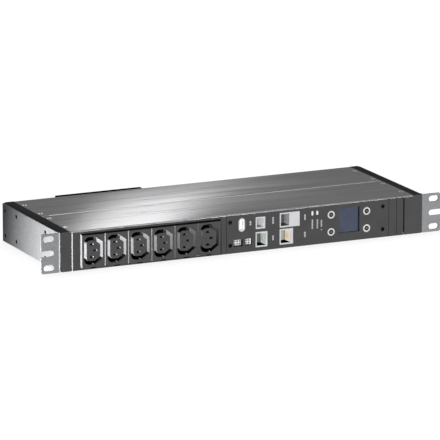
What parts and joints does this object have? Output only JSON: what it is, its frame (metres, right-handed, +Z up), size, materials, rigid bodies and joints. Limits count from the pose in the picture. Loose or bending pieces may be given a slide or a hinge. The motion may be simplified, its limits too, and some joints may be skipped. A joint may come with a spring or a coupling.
{
  "type": "rack power distribution unit",
  "caption": "Flat rack-mount power distribution unit with a row of keyed appliance outlets, network ports, a small display, push buttons and slotted rack ears.",
  "frame": {"origin": "middle of the rack rail plane, at the rear faces of the ears, at the middle of their slots", "axes": "+X along the front to the right, +Y to the rear, +Z up"},
  "size_m": [0.4826, 0.1673, 0.044],
  "materials": {
    "anodised_aluminium": "satin anodised extrusion",
    "cap_plastic": "moulded dark grey",
    "panel_plastic": "moulded dark grey",
    "outlet_plastic": "moulded black-grey",
    "zinc_steel": "zinc plated sheet",
    "bright_screw": "zinc plated",
    "black_screw": "black oxide",
    "contact_brass": "stamped",
    "pin_brass": "nickel plated",
    "circuit_board": "solder resist",
    "display_glass": "tinted clear",
    "display_panel": "dark blue-grey screen",
    "switch_black": "moulded",
    "button_dark": "moulded",
    "print_ink": "pale grey print",
    "liner_green": "moulded pale green",
    "liner_cream": "moulded cream",
    "liner_blue": "moulded blue-grey",
    "liner_black": "moulded black",
    "pip_grey": "moulded grey",
    "ring_pale": "moulded pale grey",
    "port_pale": "moulded pale grey",
    "terminal_grey": "moulded light grey",
    "light_pipe": "clear white",
    "inlet_black": "moulded black",
    "lead_brown": "insulated lead",
    "lead_blue": "insulated lead",
    "lead_green": "insulated lead",
    "grommet_rubber": "moulded"
  },
  "bodies": {
    "chassis": {"bracket_screws": "black_screw", "bus_port": "port_pale", "button_ring_1": "ring_pale", "button_ring_2": "ring_pale", "button_ring_3": "ring_pale", "button_ring_4": "ring_pale", "control_board": "circuit_board", "control_panel": "panel_plastic", "current_sensors": "switch_black", "display_module": "display_panel", "display_window": "display_glass", "earth_busbar": "contact_brass", "earth_lead": "lead_green", "filler_strip_inner": "panel_plastic", "filler_strip_outer": "panel_plastic", "front_profile": "anodised_aluminium", "inlet_housing": "inlet_black", "inlet_pins": "pin_brass", "left_bracket": "zinc_steel", "left_end_cap": "cap_plastic", "line_busbar": "contact_brass", "line_lead": "lead_brown", "link_port": "port_pale", "metering_board": "circuit_board", "network_port": "port_pale", "neutral_busbar": "contact_brass", "neutral_lead": "lead_blue", "outlet_1": "outlet_plastic", "outlet_2": "outlet_plastic", "outlet_3": "outlet_plastic", "outlet_4": "outlet_plastic", "outlet_5": "outlet_plastic", "outlet_6": "outlet_plastic", "outlet_panel": "panel_plastic", "panel_screws": "black_screw", "power_inlet": "inlet_black", "profile_screws": "bright_screw", "rear_panel": "panel_plastic", "rear_profile": "anodised_aluminium", "right_bracket": "zinc_steel", "right_end_cap": "cap_plastic", "sensor_port": "port_pale", "status_lights": "light_pipe", "tact_switches": "switch_black", "terminal_block_narrow": "terminal_grey", "terminal_block_wide": "terminal_grey", "usb_port": "port_pale", "web_grommet": "grommet_rubber"},
    "button_1_body": {"button_1": "button_dark"},
    "button_2_body": {"button_2": "button_dark"},
    "button_3_body": {"button_3": "button_dark"},
    "button_4_body": {"button_4": "button_dark"}
  },
  "joints": [
    {"name": "button_1_press", "type": "slide", "parent": "chassis", "child": "button_1_body", "axis": [0, 1, 0], "range_m": [0, 0.0005], "stiffness_N_per_m": 1500},
    {"name": "button_2_press", "type": "slide", "parent": "chassis", "child": "button_2_body", "axis": [0, 1, 0], "range_m": [0, 0.0005], "stiffness_N_per_m": 1500},
    {"name": "button_3_press", "type": "slide", "parent": "chassis", "child": "button_3_body", "axis": [0, 1, 0], "range_m": [0, 0.0005], "stiffness_N_per_m": 1500},
    {"name": "button_4_press", "type": "slide", "parent": "chassis", "child": "button_4_body", "axis": [0, 1, 0], "range_m": [0, 0.0005], "stiffness_N_per_m": 1500}
  ]
}
